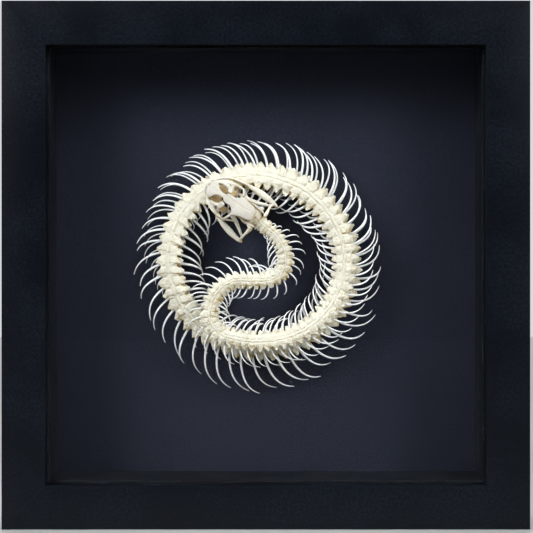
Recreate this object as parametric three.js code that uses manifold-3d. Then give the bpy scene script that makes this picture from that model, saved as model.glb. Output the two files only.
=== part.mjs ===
// A snake's skeleton coiled in a deep, glazed box frame.
// Millimetres. +Z is up and the glazed front faces -Y. The frame stands on the plane z = 0, its
// middle over the origin. "Rise" is a distance from the backing card towards the glass.
import * as THREE from "three";
import { mergeVertices } from "three/addons/utils/BufferGeometryUtils.js";
import Module from "manifold-3d";

const wasm = await Module();
wasm.setup();

const GAP = 0.3; // clearance between two pieces that touch

// ---- Driving dimensions: the frame ----
const OUTSIDE = 250;
const DEPTH = 45;
const FACE_WIDTH = 20.8; // of the front moulding, out to the sight edge
const WALL = 13; // thickness of a rail behind the lip
const LIP = 4; // thickness of the lip that holds the glass
const GLASS = 2;
const SIGHT_LINER = 103; // half the opening inside the liner
const CARD_FACE_Y = 15.3;
const CARD = 1.2;
const BOARD = 3;
const TAB = { width: 9, length: 13, thickness: 0.8, inset: 4.5, spread: 62 };
const HANGER = { width: 22, height: 14, thickness: 1, hole: 3, drop: 14 };

// ---- Driving dimensions: the coil ----
const RING_X = -3.8;
const RING_Z = 127;
const RING_LONG = 41.9; // half axes of the upper turn, an ellipse
const RING_SHORT = 39.5;
const RING_TILT = THREE.MathUtils.degToRad(-18);
const RING_START = -90; // degrees round the ring where the neck joins it
const TURNS_END = 684; // degrees of ring from there to the tip of the tail
const RING_STEP = 18;

// ---- Driving dimensions: the bones, for a vertebra of the thickest part ----
const PITCH = 5.2;
const BROAD = { spine: 4.0, wing: [5.7, 1.1], rib: [4.4, -2.2], keel: -3.7 };
const WAIST = { spine: 2.7, wing: [3.6, 0.8], rib: [2.6, -1.4], keel: -2.5 };
const RIB_THICK = 0.56; // radius of a rib's three-sided section
const RIB_CLEAR = 0.9; // least distance from a rib's tip to the card
const STUB_SHARE = 0.55; // in the tail, ribs under this share of the full length are stubs

// Size of the vertebrae along the animal, as [distance from the skull, share of the full size].
const GROWTH = [
  [0, 0.5],
  [20, 0.58],
  [90, 0.66],
  [140, 0.78],
  [205, 0.97],
  [270, 1],
  [400, 1],
  [470, 0.9],
  [540, 0.72],
  [600, 0.46],
  [625, 0.34],
];
// The ribs of the ring's outer side, the animal's left, and of its inner side: how far the tip of a
// full-sized one lies from the backbone, outwards, towards the tail and towards the card. share is
// their length beside that, as [distance from the skull, share], and fades out in the tail.
const RIB_OUTER = {
  reach: 17.6,
  back: 12.5,
  drop: 5.4,
  share: [
    [0, 0.15],
    [12, 1],
    [200, 1],
    [290, 0.88],
    [335, 1.12],
    [352, 1.25],
    [372, 1.18],
    [420, 0.9],
    [440, 0.88],
    [500, 1.0],
    [550, 0.75],
    [575, 0.3],
    [625, 0.2],
  ],
};
const RIB_INNER = {
  reach: 15.6,
  back: 8.2,
  drop: 7.0,
  share: [
    [0, 0.15],
    [12, 1],
    [290, 1.06],
    [360, 0.75],
    [500, 0.8],
    [550, 0.7],
    [575, 0.3],
    [625, 0.2],
  ],
};
// Lean of the neural spines towards the middle of the ring, in degrees.
const LEAN = [
  [0, 0],
  [80, 0],
  [110, 14],
  [157, 14],
  [195, 0],
  [225, -16],
  [260, -26],
  [315, -24],
  [345, -5],
  [400, 15],
  [500, 8],
  [625, 0],
];
// Rise of the backbone along the ring, as [degrees round it, rise].
const RING_RISE = [
  [0, 17.4],
  [180, 13.2],
  [360, 8.7],
  [540, 5.2],
  [630, 3.4],
  [TURNS_END, 2.4],
];
// How far the lower turn lies outside the upper one, as [degrees round the ring, distance].
const RING_SPREAD = [
  [0, 0],
  [250, 0.6],
  [310, 2.8],
  [360, 3.2],
  [430, 2.4],
  [560, 1.2],
  [TURNS_END, 0],
];
// The S-shaped neck from the skull to the ring, as [x, z, rise].
const NECK = [
  [-1.6, 144.2, 22.9],
  [5.0, 138.0, 21.8],
  [9.4, 129.0, 20.6],
  [8.0, 121.4, 19.8],
  [2.2, 117.6, 19.4],
  [-6.0, 116.8, 19.2],
  [-15.4, 116.6, 19.0],
  [-22.6, 112.2, 18.8],
  [-26.4, 105.0, 18.6],
  [-26.8, 97.4, 18.3],
  [-22.6, 91.6, 18.0],
  [-14.6, 88.6, 17.7],
];
// Where the backbone is divided, as distances from the skull, with the name of each length.
const NECK_END = 92;
const LENGTHS = [
  ["neck_front", NECK_END / 2],
  ["neck_back", NECK_END],
  ["upper_turn_1", 157],
  ["upper_turn_2", 222],
  ["upper_turn_3", 287],
  ["upper_turn_4", 352],
  ["lower_turn_1", 417],
  ["lower_turn_2", 482],
  ["lower_turn_3", 570],
  ["tail", Infinity],
];

// ---- Driving dimensions: the skull ----
// In the skull's own axes x runs back from the snout, y to the animal's right and z up its crown.
const SKULL = { snout: [-27, 164.5], rise: 23.2, heading: 41 };
// The brain box and upper jaws lie turned on the lower jaws, about a point this far back.
const UPPER_TURN = 4.4;
const UPPER_PIVOT = 27;
// The brain box and snout, as [x, half width, crown, base].
const CRANIUM = [
  [0, 1.8, 0.6, -1.4],
  [1.8, 4.0, 1.3, -1.6],
  [5.5, 5.2, 2.2, -1.4],
  [9, 5.0, 2.8, -1.2],
  [11.4, 6.6, 3.1, -1.0],
  [14.4, 4.0, 3.3, -1.4],
  [17.4, 6.7, 3.5, -1.2],
  [20, 5.8, 3.7, -1.9],
  [24.5, 5.2, 3.6, -2.2],
  [27.6, 5.2, 3.0, -2.1],
  [30, 3.5, 1.8, -1.8],
  [32, 1.5, 0.6, -1.2],
];
const CRANIUM_SIDES = 10;
const BAR_SIDES = 5;
// The bars of the jaws, as [x, distance from the middle, height, half width, half height].
const MAXILLA = [
  [1.8, 2.4, -2.9, 0.6, 0.5],
  [4.0, 5.3, -2.7, 0.8, 0.8],
  [8.0, 8.0, -2.5, 0.8, 0.9],
  [12.5, 9.4, -2.4, 0.8, 0.9],
  [16.5, 9.3, -2.6, 0.7, 0.7],
  [19.2, 8.6, -2.8, 0.5, 0.5],
];
const PALATE = [
  [5.0, 2.0, -3.1, 0.5, 0.5],
  [11.0, 3.2, -3.1, 0.6, 0.6],
  [17.0, 4.3, -3.3, 0.9, 0.6],
  [21.5, 5.5, -3.5, 1.2, 0.6],
  [26.5, 8.2, -3.5, 0.8, 0.6],
  [30.0, 9.8, -3.7, 0.5, 0.5],
];
const QUADRATE = [
  [24.5, 6.1, 1.5, 0.5, 0.5],
  [28.6, 6.5, 1.3, 0.8, 0.6],
  [30.2, 8.2, 0.2, 0.9, 0.6],
  [31.4, 10.6, -1.8, 0.6, 0.5],
  [32.0, 12.0, -3.0, 0.7, 0.6],
];
const MANDIBLE = [
  [0.4, 1.1, -4.5, 0.5, 0.5],
  [3.6, 5.4, -4.7, 0.7, 0.8],
  [8.0, 9.2, -4.8, 0.8, 1.0],
  [13.0, 11.7, -4.8, 0.8, 1.1],
  [18.5, 12.8, -4.8, 1.1, 1.1],
  [25.0, 13.2, -5.0, 1.6, 1.1],
  [30.4, 12.6, -5.3, 1.1, 0.9],
  [33.4, 11.8, -5.3, 0.5, 0.6],
];
const ECTOPTERYGOID = [
  [18.6, 8.5, -4.2, 0.4, 0.3],
  [21.4, 7.9, -4.6, 0.6, 0.3],
];

// ---- Finishes ----
const finish = (color, roughness, metalness = 0) =>
  new THREE.MeshStandardMaterial({ color, roughness, metalness });
const BONE = finish(0xe9e4d4, 0.55);
const BLACK_FOIL = finish(0x1e2227, 0.45);
const CLEAR = finish(0xdfe8e6, 0.05);
CLEAR.transparent = true;
CLEAR.opacity = 0.15;
const NAVY_CARD = finish(0x1b1e26, 0.9);
const HARDBOARD = finish(0x6b4c33, 0.85);
const STEEL = finish(0xb8babd, 0.35, 1);

const model = new THREE.Group();
model.name = "coiled_snake_skeleton_in_box_frame";

function add(parent, name, geometry, material) {
  const mesh = new THREE.Mesh(geometry, material);
  mesh.name = name;
  parent.add(mesh);
  return mesh;
}

// ---- Solids and shells ----

function toSolid(geometry) {
  const bare = new THREE.BufferGeometry();
  bare.setAttribute("position", geometry.getAttribute("position"));
  bare.setIndex(geometry.index);
  const merged = mergeVertices(bare, 1e-4);
  return new wasm.Manifold(
    new wasm.Mesh({
      numProp: 3,
      vertProperties: new Float32Array(merged.attributes.position.array),
      triVerts: new Uint32Array(merged.index.array),
    }),
  );
}

function toGeometry(solid) {
  const mesh = solid.getMesh();
  const geometry = new THREE.BufferGeometry();
  geometry.setAttribute("position", new THREE.BufferAttribute(mesh.vertProperties, 3));
  geometry.setIndex(new THREE.BufferAttribute(mesh.triVerts, 1));
  return geometry;
}

// A box between two corners.
function block([x0, y0, z0], [x1, y1, z1]) {
  const box = new THREE.BoxGeometry(x1 - x0, y1 - y0, z1 - z0);
  return box.translate((x0 + x1) / 2, (y0 + y1) / 2, (z0 + z1) / 2);
}

// A shell gathered triangle by triangle.
class Shell {
  constructor(turned) {
    this.points = [];
    this.corners = [];
    this.turned = turned;
  }
  point(vector) {
    this.points.push(...vector.toArray());
    return this.points.length / 3 - 1;
  }
  triangle(a, b, c) {
    this.corners.push(...(this.turned ? [a, c, b] : [a, b, c]));
  }
  quad(a, b, c, d) {
    this.triangle(a, b, c);
    this.triangle(a, c, d);
  }
  fan(loop) {
    for (let i = 1; i < loop.length - 1; i++) this.triangle(loop[0], loop[i], loop[i + 1]);
  }
  geometry() {
    const made = new THREE.BufferGeometry();
    made.setAttribute("position", new THREE.Float32BufferAttribute(this.points, 3));
    made.setIndex(this.corners);
    return made;
  }
}

// A closed loft through rings that all have the same number of points.
function loft(rings, turned) {
  const shell = new Shell(turned);
  const loops = rings.map((ring) => ring.map((p) => shell.point(p)));
  const sides = loops[0].length;
  for (let i = 0; i + 1 < loops.length; i++)
    for (let k = 0; k < sides; k++) {
      const next = (k + 1) % sides;
      shell.quad(loops[i][k], loops[i][next], loops[i + 1][next], loops[i + 1][k]);
    }
  shell.fan([...loops[0]].reverse());
  shell.fan(loops.at(-1));
  return shell.geometry();
}

// Linear reading of a [place, value] table.
function along(table, place) {
  const i = table.findIndex(([at]) => at > place);
  if (i === 0) return table[0][1];
  if (i < 0) return table.at(-1)[1];
  const [[a, from], [b, to]] = [table[i - 1], table[i]];
  return from + ((to - from) * (place - a)) / (b - a);
}

// ---- The frame ----

const HALF = OUTSIDE / 2;
const FRONT_Y = -DEPTH / 2;
const BACK_Y = DEPTH / 2;
const LIP_Y = FRONT_Y + LIP;
const GLASS_Y = LIP_Y + GAP;
const LINER_Y = GLASS_Y + GLASS + GAP;
const CARD_BACK_Y = CARD_FACE_Y + CARD;
const BOARD_Y = CARD_BACK_Y + GAP;
const BOARD_BACK_Y = BOARD_Y + BOARD;
const TAB_Y = BOARD_BACK_Y + GAP;
const REBATE = HALF - WALL; // half the opening behind the lip
const PANEL = REBATE - GAP; // half of what lies in the rebate

// A straight length with mitred ends, lying below the middle of the frame. The profile's points are
// [distance in from the outside, y].
function mitredLength(profile) {
  const outline = new THREE.Shape(profile.map(([inward, y]) => new THREE.Vector2(inward, y)));
  const length = new THREE.ExtrudeGeometry(outline, { depth: 1, bevelEnabled: false });
  const at = length.getAttribute("position");
  for (let i = 0; i < at.count; i++) {
    const inward = at.getX(i);
    const y = at.getY(i);
    const half = HALF - inward - GAP / 2;
    at.setXYZ(i, (0.5 - at.getZ(i)) * 2 * half, y, inward - HALF);
  }
  return length;
}

function railGeometry() {
  return mitredLength([
    [0, FRONT_Y],
    [FACE_WIDTH, FRONT_Y],
    [FACE_WIDTH, LIP_Y],
    [WALL, LIP_Y],
    [WALL, BACK_Y],
    [0, BACK_Y],
  ]);
}

// One strip of the liner that keeps the glass and the card apart.
function linerGeometry() {
  return mitredLength([
    [HALF - PANEL, LINER_Y],
    [HALF - SIGHT_LINER, LINER_Y],
    [HALF - SIGHT_LINER, CARD_FACE_Y - GAP],
    [HALF - PANEL, CARD_FACE_Y - GAP],
  ]);
}

// Slots in the rail's inner wall for the bent tabs that hold the board in.
function railWithSlots() {
  let rail = toSolid(railGeometry());
  for (const side of [-1, 1]) {
    const x = side * TAB.spread;
    const slot = block(
      [x - TAB.width / 2 - GAP, TAB_Y - GAP, -HALF + WALL - TAB.inset - GAP],
      [x + TAB.width / 2 + GAP, TAB_Y + TAB.thickness + GAP, -HALF + WALL + 1],
    );
    rail = rail.subtract(toSolid(slot));
  }
  return toGeometry(rail);
}

function tabGeometry(side) {
  const x = side * TAB.spread;
  const foot = -HALF + WALL - TAB.inset;
  return block(
    [x - TAB.width / 2, TAB_Y, foot],
    [x + TAB.width / 2, TAB_Y + TAB.thickness, foot + TAB.length],
  );
}

// The four sides share one shape, turned about the middle of the frame.
function buildSides(frame) {
  const rail = railWithSlots();
  const liner = linerGeometry();
  for (const [name, quarter] of [
    ["bottom", 0],
    ["right", 1],
    ["top", 2],
    ["left", 3],
  ]) {
    const side = new THREE.Group();
    side.rotation.y = -quarter * (Math.PI / 2);
    frame.add(side);
    add(side, `rail_${name}`, rail, BLACK_FOIL);
    add(side, `liner_${name}`, liner, BLACK_FOIL);
    add(side, `tab_${name}_1`, tabGeometry(-1), STEEL);
    add(side, `tab_${name}_2`, tabGeometry(1), STEEL);
  }
}

function panelGeometry(from, thickness) {
  return block([-PANEL, from, -PANEL], [PANEL, from + thickness, PANEL]);
}

// A flat plate with a hole to hang the frame by, on the back of the board.
function hangerGeometry() {
  const { width, height, thickness, hole } = HANGER;
  const plate = new THREE.Shape();
  plate.moveTo(-width / 2, -height / 2);
  plate.lineTo(width / 2, -height / 2);
  plate.lineTo(width / 4, height / 2);
  plate.lineTo(-width / 4, height / 2);
  const bore = new THREE.Path();
  bore.absarc(0, 0, hole, 0, 2 * Math.PI, true);
  plate.holes.push(bore);
  const made = new THREE.ExtrudeGeometry(plate, {
    depth: thickness,
    bevelEnabled: false,
    curveSegments: 4,
  });
  return made.rotateX(Math.PI / 2).translate(0, TAB_Y + thickness, 0);
}

function buildFrame() {
  const frame = new THREE.Group();
  frame.position.z = HALF;
  model.add(frame);
  buildSides(frame);
  add(frame, "glass_pane", panelGeometry(GLASS_Y, GLASS), CLEAR);
  add(frame, "mount_card", panelGeometry(CARD_FACE_Y, CARD), NAVY_CARD);
  add(frame, "backing_board", panelGeometry(BOARD_Y, BOARD), HARDBOARD);
  const hangTop = add(frame, "hanger_top", hangerGeometry(), STEEL);
  hangTop.position.z = PANEL - HANGER.drop;
  const hangSide = add(frame, "hanger_side", hangerGeometry(), STEEL);
  hangSide.position.x = PANEL - HANGER.drop;
  hangSide.rotation.y = Math.PI / 2;
}

// ---- The backbone ----

const TOWARDS_GLASS = new THREE.Vector3(0, -1, 0);

// A point of the ring, so many degrees after the neck joins it.
function ringPoint(degrees) {
  const turn = THREE.MathUtils.degToRad(RING_START + degrees) - RING_TILT;
  const spread = along(RING_SPREAD, degrees);
  const long = (RING_LONG + spread) * Math.cos(turn);
  const short = (RING_SHORT + spread) * Math.sin(turn);
  return new THREE.Vector3(
    RING_X + long * Math.cos(RING_TILT) - short * Math.sin(RING_TILT),
    CARD_FACE_Y - along(RING_RISE, degrees),
    RING_Z + long * Math.sin(RING_TILT) + short * Math.cos(RING_TILT),
  );
}

function backbonePath() {
  const points = NECK.map(([x, z, rise]) => new THREE.Vector3(x, CARD_FACE_Y - rise, z));
  for (let degrees = 0; degrees <= TURNS_END; degrees += RING_STEP) points.push(ringPoint(degrees));
  const path = new THREE.CatmullRomCurve3(points);
  path.arcLengthDivisions = 3000;
  return path;
}

const path = backbonePath();
const BODY_LENGTH = path.getLength();

// Distances from the skull at which the vertebrae begin.
function vertebraStarts() {
  const starts = [];
  for (let at = 0; at < BODY_LENGTH; at += PITCH * along(GROWTH, at)) starts.push(at);
  return starts;
}

// The body's own directions at a distance from the skull: back towards the tail, out through the
// animal's left side, and up its spine.
function bodyAxes(distance) {
  const share = THREE.MathUtils.clamp(distance / BODY_LENGTH, 0, 1);
  const centre = path.getPointAt(share);
  const back = path.getTangentAt(share);
  const inward = new THREE.Vector3().crossVectors(TOWARDS_GLASS, back).normalize();
  const lean = THREE.MathUtils.degToRad(along(LEAN, distance));
  const up = new THREE.Vector3().crossVectors(back, inward);
  const spine = up.multiplyScalar(Math.cos(lean)).addScaledVector(inward, Math.sin(lean));
  const left = new THREE.Vector3().crossVectors(spine, back).normalize().negate();
  return { centre, back, left, spine, size: along(GROWTH, distance) };
}

// Radius of the path's bend, positive where the ring's middle is on the concave side.
function bendRadius(distance) {
  const step = 1.5;
  const before = bodyAxes(Math.max(distance - step, 0)).back;
  const after = bodyAxes(Math.min(distance + step, BODY_LENGTH)).back;
  const turn = before.clone().cross(after).dot(TOWARDS_GLASS);
  return Math.abs(turn) < 1e-4 ? Infinity : (2 * step) / turn;
}

// The four outline points of half a vertebra, from the spine's top round to the keel.
function halfSection(axes, shape, side) {
  const place = (across, height) =>
    axes.centre
      .clone()
      .addScaledVector(axes.left, side * across)
      .addScaledVector(axes.spine, height * axes.size);
  return [
    place(GAP / 2, shape.spine),
    place(shape.wing[0] * axes.size, shape.wing[1]),
    place(shape.rib[0] * axes.size, shape.rib[1]),
    place(GAP / 2, shape.keel),
  ];
}

// The centre line of one rib, from the vertebra's flank out, back and down to its tip.
function ribLine(root, axes, distance, side) {
  const shape = side > 0 ? RIB_OUTER : RIB_INNER;
  const size = axes.size * along(shape.share, distance);
  const bend = -side * bendRadius(distance);
  const room = bend > 0 ? 0.62 * bend : Infinity;
  const reach = Math.min(shape.reach * size, Math.max(room, 4.6 * axes.size));
  const rise = CARD_FACE_Y - axes.centre.y;
  const drop = Math.min(shape.drop * size, rise - RIB_CLEAR);
  const across = new THREE.Vector3()
    .crossVectors(axes.back, TOWARDS_GLASS)
    .normalize()
    .multiplyScalar(side);
  const tip = axes.centre
    .clone()
    .addScaledVector(across, reach)
    .addScaledVector(axes.back, shape.back * size)
    .addScaledVector(TOWARDS_GLASS, -drop);
  const knee = root
    .clone()
    .addScaledVector(across, 0.62 * reach)
    .addScaledVector(axes.back, 0.16 * shape.back * size)
    .addScaledVector(TOWARDS_GLASS, 0.1 * drop);
  return new THREE.QuadraticBezierCurve3(root, knee, tip);
}

// One rib: it grows from the four-cornered flank to a three-sided bar and ends in a point. The
// stubs of the tail are straight, with one ring of points between root and tip.
function growRib(shell, corners, flank, axes, distance, side) {
  const root = new THREE.Vector3();
  for (const corner of corners) root.add(corner);
  root.divideScalar(corners.length);
  const line = ribLine(root, axes, distance, side);
  const stub = along(RIB_INNER.share, distance) < STUB_SHARE && distance > NECK_END;
  const bars = (stub ? [0.4] : [0.24, 0.64]).map((share) => {
    const centre = line.getPoint(share);
    const way = line.getTangent(share);
    const up = axes.spine.clone().addScaledVector(way, -axes.spine.dot(way)).normalize();
    const front = new THREE.Vector3().crossVectors(up, way).normalize();
    if (front.dot(axes.back) > 0) front.negate();
    const thick = RIB_THICK * Math.max(axes.size, 0.6);
    return [
      [1, 0],
      [-0.5, 0.87],
      [-0.5, -0.87],
    ].map(([u, f]) =>
      shell.point(
        centre
          .clone()
          .addScaledVector(up, u * thick)
          .addScaledVector(front, f * thick),
      ),
    );
  });
  const tip = shell.point(line.getPoint(1));
  const [wingFront, ribFront, ribBack, wingBack] = flank;
  const [up, front, back] = bars[0];
  shell.quad(wingFront, ribFront, front, up);
  shell.quad(ribFront, ribBack, back, front);
  shell.quad(ribBack, wingBack, up, back);
  shell.triangle(wingBack, wingFront, up);
  const last = bars.at(-1);
  for (let k = 0; k < 3; k++) {
    const next = (k + 1) % 3;
    if (!stub) shell.quad(bars[0][k], bars[0][next], last[next], last[k]);
    shell.triangle(last[k], last[next], tip);
  }
}

// One side of a length of backbone, vertebrae and ribs in one shell. side is 1 on the animal's left.
function halfColumn(starts, side) {
  const shell = new Shell(side < 0);
  const rings = [];
  for (let i = 0; i + 1 < starts.length; i++) {
    const [from, to] = [starts[i], starts[i + 1]];
    rings.push([from + (i ? 0 : GAP / 2), WAIST], [(from + to) / 2, BROAD]);
  }
  rings.push([starts.at(-1) - GAP / 2, WAIST]);
  const sections = rings.map(([distance, shape]) => {
    const axes = bodyAxes(distance);
    const corners = halfSection(axes, shape, side);
    return { distance, axes, corners, loop: corners.map((p) => shell.point(p)) };
  });
  for (let i = 0; i + 1 < sections.length; i++) {
    const [near, far] = [sections[i], sections[i + 1]];
    for (let k = 0; k < 4; k++) {
      const next = (k + 1) % 4;
      if (k === 1 && i % 2 === 1) {
        const corners = [near.corners[1], near.corners[2], far.corners[2], far.corners[1]];
        const flank = [near.loop[1], near.loop[2], far.loop[2], far.loop[1]];
        growRib(shell, corners, flank, near.axes, near.distance, side);
      } else shell.quad(near.loop[k], near.loop[next], far.loop[next], far.loop[k]);
    }
  }
  shell.fan([...sections[0].loop].reverse());
  shell.fan(sections.at(-1).loop);
  return shell.geometry();
}

function buildBackbone() {
  const starts = vertebraStarts();
  let first = 0;
  for (const [name, end] of LENGTHS) {
    const found = starts.findIndex((at) => at >= end);
    const last = found < 0 ? starts.length - 1 : found;
    const stretch = starts.slice(first, last + 1);
    add(model, `${name}_left`, halfColumn(stretch, 1), BONE);
    add(model, `${name}_right`, halfColumn(stretch, -1), BONE);
    first = last;
  }
}

// ---- The skull ----

function craniumGeometry() {
  const rings = CRANIUM.map(([x, half, crown, base]) =>
    Array.from({ length: CRANIUM_SIDES }, (_, k) => {
      const turn = (2 * Math.PI * (k + 0.5)) / CRANIUM_SIDES;
      const height = Math.sin(turn) > 0 ? crown : -base;
      return new THREE.Vector3(x, half * Math.cos(turn), height * Math.sin(turn));
    }),
  );
  return loft(rings, false);
}

// A bar of the jaws: five-sided rings across a bent line. side is 1 on the animal's right.
function barGeometry(stations, side) {
  const centres = stations.map(([x, across, z]) => new THREE.Vector3(x, side * across, z));
  const rings = stations.map(([, , , halfWidth, halfHeight], i) => {
    const before = centres[Math.max(i - 1, 0)];
    const after = centres[Math.min(i + 1, centres.length - 1)];
    const way = after.clone().sub(before).normalize();
    const across = new THREE.Vector3(-way.y, way.x, 0).normalize();
    const up = new THREE.Vector3().crossVectors(way, across);
    return Array.from({ length: BAR_SIDES }, (_, k) => {
      const turn = (2 * Math.PI * (k + 0.25)) / BAR_SIDES;
      return centres[i]
        .clone()
        .addScaledVector(across, halfWidth * Math.cos(turn))
        .addScaledVector(up, halfHeight * Math.sin(turn));
    });
  });
  return loft(rings, false);
}

function buildSkull() {
  const heading = THREE.MathUtils.degToRad(SKULL.heading);
  const back = new THREE.Vector3(Math.cos(heading), 0, -Math.sin(heading));
  const right = new THREE.Vector3(Math.sin(heading), 0, Math.cos(heading));
  const axes = new THREE.Matrix4().makeBasis(back, right, TOWARDS_GLASS);
  const skull = new THREE.Group();
  skull.quaternion.setFromRotationMatrix(axes);
  skull.position.set(SKULL.snout[0], CARD_FACE_Y - SKULL.rise, SKULL.snout[1]);
  model.add(skull);
  const upper = new THREE.Group();
  const turn = THREE.MathUtils.degToRad(UPPER_TURN);
  upper.rotation.z = turn;
  upper.position.set(UPPER_PIVOT * (1 - Math.cos(turn)), -UPPER_PIVOT * Math.sin(turn), 0);
  skull.add(upper);
  add(upper, "cranium", craniumGeometry(), BONE);
  for (const [name, side] of [
    ["right", 1],
    ["left", -1],
  ]) {
    add(upper, `maxilla_${name}`, barGeometry(MAXILLA, side), BONE);
    add(upper, `palate_${name}`, barGeometry(PALATE, side), BONE);
    add(upper, `ectopterygoid_${name}`, barGeometry(ECTOPTERYGOID, side), BONE);
    add(skull, `quadrate_${name}`, barGeometry(QUADRATE, side), BONE);
    add(skull, `mandible_${name}`, barGeometry(MANDIBLE, side), BONE);
  }
}

buildFrame();
buildBackbone();
buildSkull();

export default model;
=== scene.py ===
"""The looks of a snake's skeleton coiled in a deep, glazed box frame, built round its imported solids.

Sizes are in millimetres unless a name says otherwise, and finish_piece turns each mesh to metres.
+Z is up and the glazed front faces -Y. "Rise" is a distance from the mount card towards the glass.
"""
import bisect
import math
import random

import bmesh
import bpy
from mathutils import Matrix, Vector


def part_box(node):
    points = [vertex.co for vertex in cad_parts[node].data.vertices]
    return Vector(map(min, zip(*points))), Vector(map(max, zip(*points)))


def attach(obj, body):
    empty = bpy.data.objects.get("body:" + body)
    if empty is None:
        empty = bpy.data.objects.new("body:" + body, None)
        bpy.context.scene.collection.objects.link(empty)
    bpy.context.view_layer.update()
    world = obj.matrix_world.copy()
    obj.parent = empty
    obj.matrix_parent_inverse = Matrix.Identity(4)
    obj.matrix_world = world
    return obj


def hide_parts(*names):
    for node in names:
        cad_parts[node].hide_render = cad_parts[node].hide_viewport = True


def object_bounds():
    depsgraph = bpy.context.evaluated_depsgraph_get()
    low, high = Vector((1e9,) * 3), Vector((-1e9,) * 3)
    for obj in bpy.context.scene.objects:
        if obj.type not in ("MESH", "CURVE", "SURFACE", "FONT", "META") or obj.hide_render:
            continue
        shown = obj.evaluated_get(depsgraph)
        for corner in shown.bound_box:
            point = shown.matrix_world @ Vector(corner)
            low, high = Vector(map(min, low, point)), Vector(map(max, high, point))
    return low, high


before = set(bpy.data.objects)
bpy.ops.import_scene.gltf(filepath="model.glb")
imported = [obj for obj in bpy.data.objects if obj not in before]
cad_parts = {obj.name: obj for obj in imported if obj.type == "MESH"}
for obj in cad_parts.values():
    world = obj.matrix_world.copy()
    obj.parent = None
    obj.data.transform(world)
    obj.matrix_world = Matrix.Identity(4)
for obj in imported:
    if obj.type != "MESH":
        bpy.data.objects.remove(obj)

cad_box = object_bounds()

MM = 0.001
BODY = "root"
TOWARDS_GLASS = Vector((0, -1, 0))
ABOVE = Vector((0, 0, 1))

# ---- The case, read from the frame ----
CARD_FACE_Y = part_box("mount_card")[0].y / MM
CASE_FRONT_Y = cad_box[0].y / MM
CASE_MIDDLE_Z = (cad_box[0].z + cad_box[1].z) / 2 / MM
SIDES = ("bottom", "right", "top", "left")
MITRE_REACH = 0.145  # by which each end of a rail or strip is lengthened towards its neighbour

# ---- The coil ----
RING_X = -3.8
RING_Z = 127
RING_LONG = 41.9  # half axes of the upper turn, an ellipse
RING_SHORT = 39.5
RING_TILT = math.radians(-18)
RING_START = -90  # degrees round the ring where the neck joins it
TURNS_END = 684  # degrees of ring from there to the tip of the tail
RING_STEP = 18
# Rise of the backbone along the ring, as (degrees round it, rise).
RING_RISE = ((0, 17.4), (180, 13.2), (360, 8.7), (540, 5.2), (630, 3.4), (TURNS_END, 2.4))
# How far the turns have widened since the first, as (degrees round the ring, distance).
RING_SPREAD = ((0, 0), (250, 0.6), (310, 2.8), (360, 3.2), (430, 2.4), (560, 1.2), (TURNS_END, 0))
# The S-shaped neck from the skull to the ring, as (x, z, rise).
NECK = (
    (-2.3, 144.3, 22.8),
    (5.0, 138.0, 21.8),
    (9.4, 129.0, 20.6),
    (8.0, 121.4, 19.8),
    (2.2, 117.6, 19.4),
    (-6.0, 116.8, 19.2),
    (-15.4, 116.6, 19.0),
    (-22.6, 112.2, 18.8),
    (-26.4, 105.0, 18.6),
    (-26.8, 97.4, 18.3),
    (-22.6, 91.6, 18.0),
    (-14.6, 88.6, 17.7),
)
# Where the backbone is divided, as distances from the skull, with the name of each length.
LENGTHS = (
    ("neck_front", 46),
    ("neck_back", 92),
    ("upper_turn_1", 157),
    ("upper_turn_2", 222),
    ("upper_turn_3", 287),
    ("upper_turn_4", 352),
    ("lower_turn_1", 417),
    ("lower_turn_2", 482),
    ("lower_turn_3", 570),
    ("tail", math.inf),
)

# ---- The bones, for a vertebra of the thickest part ----
PITCH = 5.2
RIB_SIDES = 6
RIB_ROOT = (0.2, 3.7, -1.6)  # back, outwards and up from the middle of its stretch of backbone
RIB_CLEAR = 0.9  # least distance from a rib's tip to the card
# Half thickness of a rib along it, as (share of its length, up and down, front and back).
RIB_GIRTH = (
    (0, 0.7, 0.6),
    (0.04, 0.95, 0.8),
    (0.1, 0.72, 0.68),
    (0.2, 0.58, 0.62),
    (0.32, 0.5, 0.58),
    (0.45, 0.46, 0.52),
    (0.58, 0.42, 0.47),
    (0.7, 0.37, 0.41),
    (0.81, 0.31, 0.34),
    (0.9, 0.27, 0.28),
    (0.97, 0.22, 0.22),
    (1, 0.1, 0.1),
)
# Size of the vertebrae along the animal, as (distance from the skull, share of the full size).
GROWTH = (
    (0, 0.5),
    (20, 0.58),
    (90, 0.66),
    (140, 0.78),
    (205, 0.97),
    (270, 1),
    (400, 1),
    (470, 0.9),
    (540, 0.72),
    (600, 0.46),
    (625, 0.34),
)
# The ribs of the ring's outer side, the animal's left, and of its inner side: how far the tip of a
# full-sized one lies from the backbone, outwards, towards the tail and towards the card. share is
# their length beside that, as (distance from the skull, share), and fades out in the tail.
RIB_OUTER = {
    "reach": 17.6,
    "back": 12.5,
    "drop": 5.4,
    "share": (
        (0, 0.15),
        (12, 1),
        (200, 1),
        (290, 0.88),
        (335, 1.12),
        (352, 1.25),
        (372, 1.18),
        (395, 1.02),
        (420, 0.9),
        (440, 0.88),
        (457, 1),
        (500, 1.08),
        (530, 1.22),
        (560, 1.15),
        (590, 0.75),
        (612, 0.4),
        (625, 0.25),
    ),
}
RIB_INNER = {
    "reach": 15.6,
    "back": 8.2,
    "drop": 7.0,
    "share": (
        (0, 0.15),
        (12, 1),
        (290, 1.06),
        (360, 0.75),
        (500, 0.8),
        (550, 0.7),
        (575, 0.3),
        (625, 0.2),
    ),
}
# Lean of the neural spines towards the middle of the ring, in degrees.
LEAN = (
    (0, 0),
    (80, 0),
    (110, 14),
    (157, 14),
    (195, 0),
    (225, -20),
    (250, -34),
    (295, -26),
    (340, -6),
    (400, 15),
    (500, 8),
    (625, 0),
)

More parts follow.
